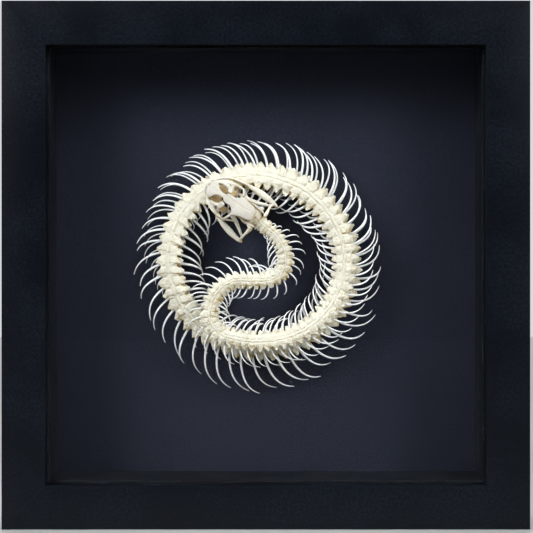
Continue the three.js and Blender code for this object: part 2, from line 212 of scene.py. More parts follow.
# ---- The skull: x runs back from the snout, y to the animal's right and z up its crown ----
SNOUT = Vector((-27, CARD_FACE_Y - 23.2, 164.5))
HEADING = math.radians(41)
CRANIUM_ROLL = math.radians(11)  # the brain box lies tipped to its right on the jaws
CRANIUM_YAW = math.radians(7)
CRANIUM_ASIDE = Vector((0.2, -2.3, 0))  # its snout lies to the left of the middle of the jaws

# ---- The camera, the lights and the floor, in metres ----
CAMERA_AWAY = 0.9  # from the front of the case
CAMERA_HEIGHT = 0.164
VIEW_WIDTH = 0.2519  # what the camera takes in, at the front of the case
VIEW_MIDDLE = (0.0003, 0.1243)
SENSOR = 36
COOL = (0.95, 0.97, 1)
COIL_MIDDLE = (0, 0, 0.105)
# The soft boxes, as (name, place, width, height, power in watts, spread in degrees, target).
LIGHTS = (
    ("left_box", (-0.51, -0.39, 0.53), 0.25, 0.36, 0.46, 56, COIL_MIDDLE),
    ("right_box", (0.51, -0.39, 0.53), 0.25, 0.36, 0.36, 56, COIL_MIDDLE),
    ("room_light", (0, 1.5, 1.7), 2.4, 0.8, 30, 180, (0, 0, 0)),
)
FLOOR_HALF = 1.1
FLOOR_DROP = 0.0002  # by which the floor lies clear of the case


# ==== Mesh tools ====


def along(table, place):
    """Linear reading of a (place, value) table."""
    places = [row[0] for row in table]
    i = bisect.bisect_right(places, place)
    if i == 0:
        return table[0][1]
    if i == len(table):
        return table[-1][1]
    (a, start), (b, end) = table[i - 1], table[i]
    return start + (end - start) * (place - a) / (b - a)


def pull_out(mesh, faces):
    """Extrudes faces as one and returns the faces and the points of their new end."""
    edges = dict.fromkeys(edge for face in faces for edge in face.edges)
    made = bmesh.ops.extrude_face_region(mesh, geom=[*faces, *edges])["geom"]
    ends = [item for item in made if isinstance(item, bmesh.types.BMFace)]
    points = [item for item in made if isinstance(item, bmesh.types.BMVert)]
    return ends, points


def face_near(mesh, *place):
    place = Vector(place)
    return min(mesh.faces, key=lambda face: (face.calc_center_median() - place).length)


def grow(mesh, faces, move, size=(1, 1, 1)):
    """Extrudes faces as one, scales their new end about its own middle and moves it."""
    ends, points = pull_out(mesh, faces)
    middle = sum((point.co for point in points), Vector()) / len(points)
    bmesh.ops.scale(mesh, vec=size, verts=points, space=Matrix.Translation(-middle))
    bmesh.ops.translate(mesh, vec=move, verts=points)
    return ends


def cut_across(mesh, place, way):
    everything = mesh.verts[:] + mesh.edges[:] + mesh.faces[:]
    bmesh.ops.bisect_plane(mesh, geom=everything, plane_co=place, plane_no=way)


def frame_at(centre, way, across, half_width, half_height):
    """The matrix that puts a unit circle across a bar."""
    up = way.cross(across)
    turned = Matrix((across * half_width, up * half_height, way)).transposed().to_4x4()
    return Matrix.Translation(centre) @ turned


def bar(mesh, stations, sides=8, squareness=0.0):
    """A closed bar through stations of (x, y, z, half width, half height)."""
    centres = [Vector(station[:3]) for station in stations]
    frames = []
    for i, station in enumerate(stations):
        way = centres[min(i + 1, len(centres) - 1)] - centres[max(i - 1, 0)]
        way.normalize()
        across = Vector((-way.y, way.x, 0))
        if across.length < 0.05:
            across = Vector((0, 1, 0))
        frames.append(frame_at(centres[i], way, across.normalized(), *station[3:]))
    ring = bmesh.ops.create_circle(mesh, cap_ends=True, segments=sides, radius=1)["verts"]
    for vert in ring:
        vert.co /= max(abs(vert.co.x), abs(vert.co.y)) ** squareness
    cap = [ring[0].link_faces[0]]
    bmesh.ops.transform(mesh, matrix=frames[0], verts=ring)
    for near, far in zip(frames, frames[1:]):
        cap, points = pull_out(mesh, cap)
        bmesh.ops.transform(mesh, matrix=far @ near.inverted(), verts=points)


def plate(mesh, rows, columns, place, thickness):
    """A curved plate: place gives its point for two shares from 0 to 1, along and across."""
    grid = bmesh.ops.create_grid(mesh, x_segments=rows, y_segments=columns, size=0.5)["verts"]
    for vert in grid:
        vert.co = place(vert.co.x + 0.5, vert.co.y + 0.5)
    faces = list(dict.fromkeys(face for vert in grid for face in vert.link_faces))
    bmesh.ops.recalc_face_normals(mesh, faces=faces)
    bmesh.ops.solidify(mesh, geom=faces, thickness=thickness)


def ball(mesh, centre, radii, segments=10):
    made = bmesh.ops.create_uvsphere(mesh, u_segments=segments, v_segments=6, radius=1)
    stretch = Matrix.Diagonal((*radii, 1))
    bmesh.ops.transform(mesh, matrix=Matrix.Translation(centre) @ stretch, verts=made["verts"])


def finish_piece(name, mesh, material, slot, nodes, levels=1, unit=MM):
    """Makes the object, in metres, gives it its body and hides the nodes it stands for; slot is not
    used.
    """
    bmesh.ops.recalc_face_normals(mesh, faces=mesh.faces)
    bmesh.ops.scale(mesh, vec=(unit, unit, unit), verts=mesh.verts)
    data = bpy.data.meshes.new(name)
    mesh.to_mesh(data)
    mesh.free()
    data.materials.append(material)
    data.shade_smooth()
    piece = bpy.data.objects.new(name, data)
    bpy.context.scene.collection.objects.link(piece)
    if levels:
        rounding = piece.modifiers.new("rounding", "SUBSURF")
        rounding.levels = levels
        rounding.render_levels = levels
    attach(piece, BODY)
    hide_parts(*nodes)
    return piece


# ==== Shader tools ====


class Wiring:
    """Adds nodes to a tree. An input given as a socket is linked, and any other value is set."""

    def __init__(self, tree):
        self.tree = tree

    def feed(self, socket, value):
        if isinstance(value, bpy.types.NodeSocket):
            self.tree.links.new(value, socket)
        else:
            socket.default_value = value

    def add(self, kind, inputs, **settings):
        node = self.tree.nodes.new("ShaderNode" + kind)
        for name, value in settings.items():
            setattr(node, name, value)
        for key, value in inputs.items():
            self.feed(node.inputs[key], value)
        return node

    def object_mm(self, stretch=(1, 1, 1)):
        """Object coordinates in millimetres, stretched by a factor along each axis."""
        where = self.add("TexCoord", {}).outputs["Object"]
        scale = [factor / MM for factor in stretch]
        return self.add("Mapping", {"Vector": where, "Scale": scale}).outputs["Vector"]

    def noise(self, vector, per_mm, detail=3, roughness=0.55):
        inputs = {"Vector": vector, "Scale": per_mm, "Detail": detail, "Roughness": roughness}
        return self.add("TexNoise", inputs).outputs["Fac"]

    def sums(self, operation, *values):
        node = self.add("Math", dict(enumerate(values)), operation=operation)
        return node.outputs["Value"]

    def fade(self, value, low, high, start=0.0, end=1.0):
        """A smooth step of value from low to high, which runs from start to end."""
        keys = ("Value", "From Min", "From Max", "To Min", "To Max")
        inputs = dict(zip(keys, (value, low, high, start, end)))
        node = self.add("MapRange", inputs, interpolation_type="SMOOTHSTEP")
        return node.outputs["Result"]

    def blend(self, share, first, second, mode="MIX"):
        node = self.add("Mix", {"Factor": share}, data_type="RGBA", blend_type=mode)
        self.feed(node.inputs[6], first)
        self.feed(node.inputs[7], second)
        return node.outputs[2]

    def facing(self, way):
        """How far the surface faces a direction, from -1 to 1."""
        normal = self.add("NewGeometry", {}).outputs["Normal"]
        return self.add("VectorMath", {0: normal, 1: way}, operation="DOT_PRODUCT").outputs["Value"]

    def bump(self, height, distance, strength=1.0):
        inputs = {"Height": height, "Distance": distance, "Strength": strength}
        return self.add("Bump", inputs).outputs["Normal"]

    def group(self, tree, **inputs):
        node = self.tree.nodes.new("ShaderNodeGroup")
        node.node_tree = tree
        for name, value in inputs.items():
            self.feed(node.inputs[name.replace("_", " ")], value)
        return node.outputs


def new_group(name, inputs, outputs):
    """A shader group with float or colour sockets, and the wiring and ends to build it with."""
    tree = bpy.data.node_groups.new(name, "ShaderNodeTree")
    for key, default in inputs.items():
        kind = "NodeSocketFloat" if isinstance(default, (int, float)) else "NodeSocketColor"
        socket = tree.interface.new_socket(key, in_out="INPUT", socket_type=kind)
        socket.default_value = default
    for key, kind in outputs.items():
        tree.interface.new_socket(key, in_out="OUTPUT", socket_type="NodeSocket" + kind)
    given = tree.nodes.new("NodeGroupInput").outputs
    asked = tree.nodes.new("NodeGroupOutput").inputs
    return tree, Wiring(tree), given, asked


def new_material(name, **settings):
    """A material and its wiring; settings go to the sockets of its Principled shader."""
    material = bpy.data.materials.new(name)
    material.use_nodes = True
    wiring = Wiring(material.node_tree)
    shader = material.node_tree.nodes["Principled BSDF"]
    for key, value in settings.items():
        shader.inputs[key.replace("_", " ")].default_value = value
    return material, wiring, shader


def bone_surface_group():
    """Bone, mottled and finely pitted; ochre painted shade where it faces away from the lights, and
    ochre stain and painted shade in recesses.
    """
    # The second colour is the ochre of stain and of painted shade alike.
    tree, wiring, given, asked = new_group(
        "bone_surface",
        {
            "Bleached": (0.8, 0.75, 0.65, 1),
            "Stained": (0.3, 0.18, 0.06, 1),
            "Recess": 0.0,
            "Stain": 1.0,
            "Gloss": 0.5,
        },
        {"Color": "Color", "Roughness": "Float", "Height": "Float"},
    )
    place = wiring.object_mm()
    patches = wiring.noise(place, 0.35, detail=5, roughness=0.65)
    flecks = wiring.noise(place, 2.1, detail=3)
    # Painted shade: surfaces that face away from this way, the way the lights shine from, turn towards
    # the ochre colour.
    light_way = Vector((-0.4, -0.72, 0.56))
    facing_away_shade = wiring.fade(wiring.facing(light_way), 0.78, 0.0, 0.02, 1.0)
    patchy = wiring.fade(patches, 0.4, 0.6, 0.35, 1.5)
    # Recesses found by ambient occlusion turn towards the ochre colour: partly stain, partly painted
    # shade.
    recess_stain_and_shade = wiring.fade(given["Recess"], 0.1, 0.62, 0.05, 1.0)
    both = wiring.sums("ADD", facing_away_shade, recess_stain_and_shade)
    share = wiring.sums("MULTIPLY", wiring.sums("MULTIPLY", both, patchy), given["Stain"])
    share = wiring.sums("MINIMUM", share, 1.0)
    tone = wiring.blend(share, given["Bleached"], given["Stained"])
    speck = wiring.fade(flecks, 0.5, 0.72, 0.0, 0.35)
    wiring.feed(asked["Color"], wiring.blend(speck, tone, given["Stained"]))
    worn = wiring.fade(flecks, 0.3, 0.7, -0.07, 0.09)
    wiring.feed(asked["Roughness"], wiring.sums("ADD", given["Gloss"], worn))
    pits = wiring.add("TexVoronoi", {"Vector": place, "Scale": 1.3}).outputs["Distance"]
    pit_height = wiring.fade(pits, 0.0, 0.3, 0.0, 0.12)
    lumps = wiring.noise(place, 1.1, detail=5, roughness=0.62)
    wiring.feed(asked["Height"], wiring.sums("ADD", pit_height, lumps))
    return tree


def fine_grain_group():
    """A fine grain pressed in foil or paper, with tiny dust flecks that gather where it faces up."""
    tree, wiring, given, asked = new_group(
        "fine_grain",
        {"Per mm": 3.0, "Dust": 0.3, "Base": (0.02, 0.02, 0.02, 1), "Gloss": 0.4},
        {"Color": "Color", "Roughness": "Float", "Height": "Float"},
    )
    place = wiring.object_mm()
    grain = wiring.noise(place, given["Per mm"], detail=4, roughness=0.6)
    cloud = wiring.noise(place, 0.03, detail=4)
    fleck = wiring.fade(wiring.noise(place, 1.3, detail=2, roughness=0.4), 0.7, 0.76)
    lies_up = wiring.fade(wiring.facing(ABOVE), -0.2, 0.9, 0.25, 1.0)
    dust = wiring.sums("MULTIPLY", wiring.sums("MULTIPLY", fleck, lies_up), given["Dust"])
    mottle = wiring.fade(wiring.noise(place, 0.8, detail=4, roughness=0.65), 0.35, 0.65, 0.0, 0.22)
    shade = wiring.fade(cloud, 0.3, 0.7, 0.3, 1.0)
    share = wiring.sums("MULTIPLY", mottle, shade)
    tone = wiring.blend(share, given["Base"], (0.036, 0.052, 0.085, 1))
    wiring.feed(asked["Color"], wiring.blend(dust, tone, (0.35, 0.34, 0.32, 1)))
    spread = wiring.fade(cloud, 0.3, 0.7, -0.03, 0.04)
    dulled = wiring.sums("MULTIPLY", dust, 0.4)
    rough = wiring.sums("ADD", wiring.sums("ADD", given["Gloss"], spread), dulled)
    wiring.feed(asked["Roughness"], rough)
    wiring.feed(asked["Height"], grain)
    return tree


# ==== Materials ====


def bone_material(name, surface, bleached, stain_and_shade, stain=1.0, relief=0.2, reach=2.5):
    """Bone with a relief in millimetres. Its recesses, found within reach, get more of the ochre,
    partly stain and partly painted shade.
    """
    material, wiring, shader = new_material(name)
    hidden = wiring.add("AmbientOcclusion", {"Distance": reach * MM}, samples=8)
    recess = wiring.sums("SUBTRACT", 1.0, hidden.outputs["AO"])
    bone = wiring.group(
        surface,
        Bleached=(*bleached, 1),
        Stained=(*stain_and_shade, 1),
        Recess=recess,
        Stain=stain,
        Gloss=0.5,
    )
    wiring.feed(shader.inputs["Base Color"], bone["Color"])
    wiring.feed(shader.inputs["Roughness"], bone["Roughness"])
    wiring.feed(shader.inputs["Normal"], wiring.bump(bone["Height"], relief * MM))
    return material


def grained_material(name, grain, base, gloss, per_mm, dust, depth):
    """Foil or card with so many grains to the millimetre, pressed to a depth in millimetres."""
    material, wiring, shader = new_material(name, Specular_IOR_Level=0.22)
    face = wiring.group(grain, Per_mm=per_mm, Dust=dust, Base=(*base, 1), Gloss=gloss)
    wiring.feed(shader.inputs["Base Color"], face["Color"])
    wiring.feed(shader.inputs["Roughness"], face["Roughness"])
    wiring.feed(shader.inputs["Normal"], wiring.bump(face["Height"], depth * MM))
    return material


def clear_glass():
    """A thin coated pane that hardly mirrors, and lets light through to what it covers."""
    material, wiring, shader = new_material(
        "clear_glass",
        Base_Color=(1, 1, 1, 1),
        Roughness=0.02,
        IOR=1.1,
        Transmission_Weight=1.0,
        Specular_IOR_Level=0.02,
    )
    through = wiring.add("BsdfTransparent", {"Color": (0.97, 0.98, 0.975, 1)})
    shadow = wiring.add("LightPath", {}).outputs["Is Shadow Ray"]
    both = wiring.add("MixShader", {0: shadow, 1: shader.outputs[0], 2: through.outputs[0]})
    output = material.node_tree.nodes["Material Output"]
    wiring.feed(output.inputs["Surface"], both.outputs[0])
    return material


def hardboard():
    """Brown pressed fibreboard."""
    material, wiring, shader = new_material("hardboard")
    fibres = wiring.noise(wiring.object_mm((1, 1, 0.25)), 1.6, detail=5, roughness=0.7)
    clots = wiring.noise(wiring.object_mm(), 0.12, detail=4)
    pale = wiring.blend(wiring.fade(clots, 0.3, 0.7), (0.17, 0.1, 0.055, 1), (0.24, 0.15, 0.085, 1))
    tone = wiring.blend(wiring.fade(fibres, 0.35, 0.7), (0.11, 0.06, 0.032, 1), pale)
    wiring.feed(shader.inputs["Base Color"], tone)
    wiring.feed(shader.inputs["Roughness"], wiring.fade(fibres, 0.3, 0.7, 0.72, 0.9))
    wiring.feed(shader.inputs["Normal"], wiring.bump(fibres, 0.12 * MM))
    return material


def zinc_steel():
    """Zinc-plated strip, lightly brushed, with dull spots."""
    material, wiring, shader = new_material("zinc_steel", Metallic=1.0)
    brushed = wiring.noise(wiring.object_mm((0.2, 1, 5)), 1.4, detail=3)
    spots = wiring.noise(wiring.object_mm(), 0.5, detail=4)
    tone = wiring.blend(wiring.fade(spots, 0.4, 0.7), (0.62, 0.62, 0.6, 1), (0.42, 0.42, 0.43, 1))
    wiring.feed(shader.inputs["Base Color"], tone)
    wiring.feed(shader.inputs["Roughness"], wiring.fade(spots, 0.3, 0.7, 0.28, 0.5))
    wiring.feed(shader.inputs["Normal"], wiring.bump(brushed, 0.02 * MM))
    return material


bone_surface = bone_surface_group()
fine_grain = fine_grain_group()
COLUMN_BONE = bone_material(
    "column_bone", bone_surface, (0.775, 0.75, 0.635), (0.46, 0.33, 0.09), relief=0.45, reach=4
)
RIB_BONE = bone_material(
    "rib_bone", bone_surface, (0.93, 0.94, 0.95), (0.6, 0.54, 0.4), stain=0.3, relief=0.1, reach=1.2
)
SKULL_BONE = bone_material(
    "skull_bone", bone_surface, (0.61, 0.59, 0.53), (0.44, 0.3, 0.12), relief=0.35, reach=3
)
JAW_BONE = bone_material("jaw_bone", bone_surface, (0.77, 0.75, 0.66), (0.5, 0.37, 0.15))
# Ochre copy of the bone for the bones deep under the roof and palate: partly stain, partly painted
# shade.
STAIN_AND_SHADE_BONE = bone_material(
    "stain_and_shade_bone", bone_surface, (0.68, 0.5, 0.24), (0.36, 0.2, 0.06), relief=0.4
)
TOOTH = bone_material(
    "tooth_enamel", bone_surface, (0.84, 0.84, 0.8), (0.6, 0.5, 0.34), stain=0.4, relief=0.03, reach=1
)
BLACK_FOIL = grained_material(
    "black_foil", fine_grain, (0.0015, 0.0035, 0.0068), gloss=0.4, per_mm=2.4, dust=0.25, depth=0.07
)
LINER_FOIL = grained_material(
    "liner_foil", fine_grain, (0.0025, 0.003, 0.004), gloss=0.5, per_mm=4.0, dust=0.3, depth=0.03
)
NAVY_CARD = grained_material(
    "navy_card", fine_grain, (0.0132, 0.0153, 0.0265), gloss=0.88, per_mm=5.5, dust=0.05, depth=0.025
)
GLASS = clear_glass()
HARDBOARD = hardboard()
ZINC = zinc_steel()


# ==== The backbone ====


def spline(points, steps=40):
    """A centripetal Catmull-Rom curve through points, as closely spaced points."""
    ends = [2 * points[0] - points[1], *points, 2 * points[-1] - points[-2]]
    line = [points[0]]
    for before, start, end, after in zip(ends, ends[1:], ends[2:], ends[3:]):
        a = math.sqrt((start - before).length)
        b = math.sqrt((end - start).length)
        c = math.sqrt((after - end).length)
        leave = (start - before) / a - (end - before) / (a + b) + (end - start) / b
        arrive = (end - start) / b - (after - start) / (b + c) + (after - end) / c
        for step in range(1, steps + 1):
            t = step / steps
            line.append(
                start * (2 * t**3 - 3 * t**2 + 1)
                + leave * b * (t**3 - 2 * t**2 + t)
                + end * (3 * t**2 - 2 * t**3)
                + arrive * b * (t**3 - t**2)
            )
    return line


def ring_point(degrees):
    """A point of the ring, so many degrees after the neck joins it."""
    turn = math.radians(RING_START + degrees) - RING_TILT
    spread = along(RING_SPREAD, degrees)
    long = (RING_LONG + spread) * math.cos(turn)
    short = (RING_SHORT + spread) * math.sin(turn)
    return Vector(
        (
            RING_X + long * math.cos(RING_TILT) - short * math.sin(RING_TILT),
            CARD_FACE_Y - along(RING_RISE, degrees),
            RING_Z + long * math.sin(RING_TILT) + short * math.cos(RING_TILT),
        )
    )


class Backbone:
    """The line of the backbone, read by the distance from the skull."""

    def __init__(self):
        neck = [Vector((x, CARD_FACE_Y - rise, z)) for x, z, rise in NECK]
        ring = [ring_point(degrees) for degrees in range(0, TURNS_END + 1, RING_STEP)]
        self.line = spline(neck + ring)
        self.reached = [0.0]
        for near, far in zip(self.line, self.line[1:]):
            self.reached.append(self.reached[-1] + (far - near).length)
        self.length = self.reached[-1]

    def point(self, distance):
        i = min(max(bisect.bisect_right(self.reached, distance), 1), len(self.line) - 1)
        near, far = self.reached[i - 1], self.reached[i]
        return self.line[i - 1].lerp(self.line[i], (distance - near) / (far - near))

    def way(self, distance):
        step = 0.4
        ahead = min(distance + step, self.length)
        behind = max(distance - step, 0)
        return (self.point(ahead) - self.point(behind)).normalized()

    def bend_radius(self, distance):
        """Radius of the bend, positive where the ring's middle is on the concave side."""
        step = 1.5
        before = self.way(max(distance - step, 0))
        after = self.way(min(distance + step, self.length))
        turn = before.cross(after).dot(TOWARDS_GLASS)
        return math.inf if abs(turn) < 1e-4 else 2 * step / turn

    def axes(self, distance):
        """Back towards the tail, out through the animal's left side, and up its spine."""
        back = self.way(distance)
        inward = TOWARDS_GLASS.cross(back).normalized()
        lean = math.radians(along(LEAN, distance))
        spine = back.cross(inward) * math.cos(lean) + inward * math.sin(lean)
        left = -spine.cross(back).normalized()
        return back, left, spine


backbone = Backbone()


def vertebra_starts():
    """Distances from the skull at which the vertebrae begin."""
    starts = []
    at = 0.0
    while at < backbone.length:
        starts.append(at)
        at += PITCH * along(GROWTH, at)
    return starts


def vertebra_cage():
    """One full-sized vertebra: x runs back, y to the left and z up the spine, about its middle."""
    mesh = bmesh.new()
    bmesh.ops.create_cube(mesh, size=1)
    bmesh.ops.scale(mesh, vec=(7.6, 9.4, 4.0), verts=mesh.verts)
    bmesh.ops.translate(mesh, vec=(0, 0, -0.5), verts=mesh.verts)
    column = 0.95  # half width of the middle column of faces
    for place, way in (
        ((0.1, 0, 0), (1, 0, 0)),
        ((0, column, 0), (0, 1, 0)),
        ((0, -column, 0), (0, 1, 0)),
        ((0, 0, -0.4), (0, 0, 1)),
    ):
        cut_across(mesh, place, way)
    for vert in mesh.verts:
        shape_core(vert.co, column)
    cotyle = grow(mesh, [face_near(mesh, -2.7, 0, -1.5)], (0, 0, 0), (1, 0.7, 0.7))
    bmesh.ops.translate(mesh, vec=(0.9, 0, 0), verts=cotyle[0].verts)
    canal = grow(mesh, [face_near(mesh, -2.7, 0, 0.7)], (0, 0, 0), (1, 0.75, 0.7))
    bmesh.ops.translate(mesh, vec=(1.3, 0, 0), verts=canal[0].verts)
    grow(mesh, [face_near(mesh, 2.7, 0, -1.5)], (1.0, 0, 0.1), (1, 0.85, 0.8))
    blade = [face_near(mesh, -1.3, 0, 1.8), face_near(mesh, 1.4, 0, 1.8)]
    grow(mesh, blade, (0.2, 0, 0.45), (1, 0.5, 0.7))
    keel = [face_near(mesh, -1.3, 0, -2.5), face_near(mesh, 1.4, 0, -2.5)]
    grow(mesh, keel, (0.5, 0, -1.0), (0.8, 0.3, 1))
    for side in (-1, 1):
        for x in (-1.4, 1.5):
            grow(mesh, [face_near(mesh, x, side * 2.6, 1.4)], (0, 0, 0.45), (0.55, 0.5, 1))
        front = [face_near(mesh, -1.4, side * 4.0, 0.5)]
        wing = grow(mesh, front, (-0.3, side * 1.0, -0.1), (0.85, 1, 0.55))
        grow(mesh, wing, (-0.1, side * 1.9, -0.3), (0.26, 1, 0.4))
        back = [face_near(mesh, 1.5, side * 4.0, 0.5)]
        wing = grow(mesh, back, (0.4, side * 0.8, 0.2), (0.85, 1, 0.5))
        grow(mesh, wing, (0.8, side * 1.7, -0.2), (0.26, 1, 0.4))
        facet = [face_near(mesh, -1.4, side * 3.7, -1.5)]
        grow(mesh, facet, (0, side * 1.7, -0.3), (0.5, 1, 0.6))
    bmesh.ops.subdivide_edges(mesh, edges=mesh.edges, cuts=1, use_grid_fill=True)
    # Extruding orders the points differently on each run, and place_vertebra jogs them in order.
    slant = Vector((0.5313, 0.7193, 0.4487))  # a way in which no two of them are level
    mesh.verts.sort(key=lambda vert: vert.co.dot(slant))
    return mesh


def shape_core(place, column):
    """Draws the blocked-out core to a waisted centrum under a roof that rises a little to the back."""
    outer = abs(place.y) > column + 0.1
    if outer and abs(place.x - 0.1) < 0.2:
        place.y *= 0.88
    if place.z > 1:
        place.z += (0.3 if not outer else -0.2) + 0.03 * place.x
    if place.z < -2:
        place.y *= 0.7


def rib_template():
    """A straight rib: x is the share of its length, and y and z go round its unit section."""
    mesh = bmesh.new()
    shares = [share for share, _, _ in RIB_GIRTH]
    ring = bmesh.ops.create_circle(mesh, cap_ends=True, segments=RIB_SIDES, radius=1)["verts"]
    cap = [ring[0].link_faces[0]]
    upright = Matrix.Rotation(math.radians(90), 4, "Y")
    bmesh.ops.transform(mesh, matrix=upright, verts=ring)
    for near, far in zip(shares, shares[1:]):
        cap, points = pull_out(mesh, cap)
        bmesh.ops.translate(mesh, vec=(far - near, 0, 0), verts=points)
    return mesh


def stored(name, mesh):
    """The mesh as data that other meshes can take copies of."""
    data = bpy.data.meshes.new(name)
    mesh.to_mesh(data)
    mesh.free()
    return data


def copy_in(mesh, data):
    """Adds a copy of the stored mesh and returns its points."""
    before = len(mesh.verts)
    mesh.from_mesh(data)
    mesh.verts.ensure_lookup_table()
    return mesh.verts[before:]


class RibLine:
    """The bent line of one rib, from the vertebra's flank out, back and down to its tip."""

    def __init__(self, distance, side, vary):
        back, left, spine = backbone.axes(distance)
        full = along(GROWTH, distance)
        shape = RIB_OUTER if side > 0 else RIB_INNER
        size = full * along(shape["share"], distance)
        bend = -side * backbone.bend_radius(distance)
        room = 0.62 * bend if bend > 0 else math.inf
        reach = min(shape["reach"] * size, max(room, 4.6 * full)) * vary.uniform(0.9, 1.05)
        centre = backbone.point(distance)
        drop = min(shape["drop"] * size, CARD_FACE_Y - centre.y - RIB_CLEAR)
        across = back.cross(TOWARDS_GLASS).normalized() * side
        bunched = 1.2 * math.sin(0.41 * distance) + 0.9 * math.sin(0.73 * distance + side)
        behind = shape["back"] * size * vary.uniform(0.85, 1.12) + full * bunched
        self.root = centre + full * (
            back * RIB_ROOT[0] + left * side * RIB_ROOT[1] + spine * RIB_ROOT[2]
        )
        self.tip = centre + across * reach + back * behind - TOWARDS_GLASS * drop
        lift = 0.1 * drop + full * 1.2
        self.knee = (
            self.root
            + across * reach * vary.uniform(0.76, 0.82)
            + back * 0.2 * behind
            + TOWARDS_GLASS * lift
        )
        self.spine = spine
        self.girth = max(full, 0.7) * vary.uniform(0.9, 1.12)

    def place(self, share):
        """The point at a share of the length, and the two directions across the rib there."""
        left = 1 - share
        point = self.root * left**2 + self.knee * 2 * share * left + self.tip * share**2
        way = (self.knee - self.root) * left + (self.tip - self.knee) * share
        front = self.spine.cross(way).normalized()
        up = way.cross(front).normalized()
        return point, up, front


def bend_rib(verts, line):
    for vert in verts:
        share, front_share, up_share = vert.co
        point, up, front = line.place(share)
        tall = along([(s, tall) for s, tall, _ in RIB_GIRTH], share)
        deep = along([(s, deep) for s, _, deep in RIB_GIRTH], share)
        vert.co = point + up * up_share * tall * line.girth + front * front_share * deep * line.girth


def build_backbone():
    """Each length has its vertebrae in one piece and the ribs of each side in another."""
    vary = random.Random(7)
    cage = stored("vertebra", vertebra_cage())
    rib = stored("rib", rib_template())
    starts = vertebra_starts()
    first = 0
    for name, end in LENGTHS:
        last = next((i for i, at in enumerate(starts) if at >= end), len(starts) - 1)
        column = bmesh.new()
        ribs = {"left": bmesh.new(), "right": bmesh.new()}
        for near, far in zip(starts[first:last], starts[first + 1 : last + 1]):
            middle = (near + far) / 2
            place_vertebra(column, cage, middle, vary)
            for side, sign in (("left", 1), ("right", -1)):
                bend_rib(copy_in(ribs[side], rib), RibLine(middle, sign, vary))
        if first == 0:
            place_vertebra(column, cage, 0, vary, 1.1)
        nodes = (f"{name}_left", f"{name}_right")
        finish_piece(f"{name}_vertebrae", column, COLUMN_BONE, "bone", nodes)
        for side, mesh in ribs.items():
            finish_piece(f"{name}_ribs_{side}", mesh, RIB_BONE, "bone", [f"{name}_{side}"])
        first = last


def place_vertebra(column, cage, middle, vary, share=1.0):
    """Adds one vertebra, a touch out of line with its neighbours, at a share of the size there."""
    size = share * along(GROWTH, middle)
    back, left, spine = backbone.axes(middle)
    turned = Matrix((back, left, spine)).transposed().to_4x4()
    centre = backbone.point(middle) + back * 0.25 * PITCH * size
    jog = Matrix.Rotation(math.radians(vary.uniform(-4, 4)), 4, "X")
    swing = Matrix.Rotation(math.radians(vary.uniform(-3.5, 3.5)), 4, "Z")
    scale = Matrix.Diagonal((size, size * vary.uniform(0.97, 1.03), size * vary.uniform(0.95, 1.03), 1))
    verts = copy_in(column, cage)
    for vert in verts:
        rough = 0.13 + 0.045 * abs(vert.co.y)
        vert.co += Vector([vary.uniform(-rough, rough) for _ in range(3)])
    matrix = Matrix.Translation(centre) @ turned @ jog @ swing @ scale
    bmesh.ops.transform(column, matrix=matrix, verts=verts)


# ==== The skull ====


def skull_to_case():
    """From the skull's own axes to the case's."""
    back = Vector((math.cos(HEADING), 0, -math.sin(HEADING)))
    right = Vector((math.sin(HEADING), 0, math.cos(HEADING)))
    turned = Matrix((back, right, TOWARDS_GLASS)).transposed().to_4x4()
    return Matrix.Translation(SNOUT) @ turned


def cranium_to_case():
    tip = Matrix.Rotation(CRANIUM_YAW, 4, "Z") @ Matrix.Rotation(-CRANIUM_ROLL, 4, "X")
    return skull_to_case() @ Matrix.Translation(CRANIUM_ASIDE) @ tip


def mirrored(stations, side):
    return [(x, side * y, *rest) for x, y, *rest in stations]


def skull_piece(name, mesh, material, node, place, levels=2):
    bmesh.ops.transform(mesh, matrix=place, verts=mesh.verts)
    finish_piece(name, mesh, material, "skull_bone", [node], levels)


# Bars and blocks of the brain box, as (x, y, z, half width, half height).
PREMAXILLA = (
    (2.4, 3.6, -2.0, 0.35, 0.35),
    (1.3, 2.6, -1.7, 0.65, 0.6),
    (0.4, 1.2, -1.4, 0.8, 0.75),
    (0.1, 0, -1.3, 0.9, 0.85),
    (0.4, -1.2, -1.4, 0.8, 0.75),
    (1.3, -2.6, -1.7, 0.65, 0.6),
    (2.4, -3.6, -2.0, 0.35, 0.35),
)
PREMAXILLA_SPINE = (
    (0.3, 0, -1.0, 0.8, 0.5),
    (1.0, 0, 0.2, 0.6, 0.5),
    (2.4, 0, 1.1, 0.4, 0.4),
    (4.2, 0, 1.5, 0.2, 0.25),
)
FRONTAL_WALL = (
    (10.4, 1.7, 0.6, 0.35, 1.5),
    (13.5, 1.5, 0.3, 0.4, 1.8),
    (16.8, 2.2, 0.2, 0.6, 2.1),
)
BRAIN_CASE = (
    (16.6, 0, 0.8, 3.6, 1.8),
    (18.4, 0, 0.7, 4.5, 2.6),
    (21.0, 0, 0.6, 4.7, 2.9),
    (24.0, 0, 0.5, 4.8, 2.9),
    (26.3, 0, 0.2, 4.2, 2.5),
)
OCCIPITAL = (
    (25.0, 0, 0.1, 4.3, 2.6),
    (26.8, 0, 0.1, 4.8, 2.6),
    (28.2, 0, -0.1, 4.4, 2.2),
    (29.8, 0, -0.4, 3.3, 1.6),
    (31.4, 0, -0.6, 2.1, 1.1),
)
CREST = (
    (20.5, 0, 3.7, 0.25, 0.2),
    (23.5, 0, 3.9, 0.25, 0.4),
    (26.5, 0, 3.3, 0.25, 0.55),
    (28.4, 0, 1.9, 0.3, 0.45),
    (29.4, 0, 1.0, 0.25, 0.3),
)
PARASPHENOID = (
    (8.0, 0, -1.5, 0.4, 0.3),
    (14.0, 0, -1.7, 0.6, 0.4),
    (18.5, 0, -2.0, 1.5, 0.45),
    (23.0, 0, -2.4, 2.9, 0.5),
    (27.0, 0, -2.4, 2.4, 0.5),
    (30.4, 0, -1.6, 1.1, 0.5),
)
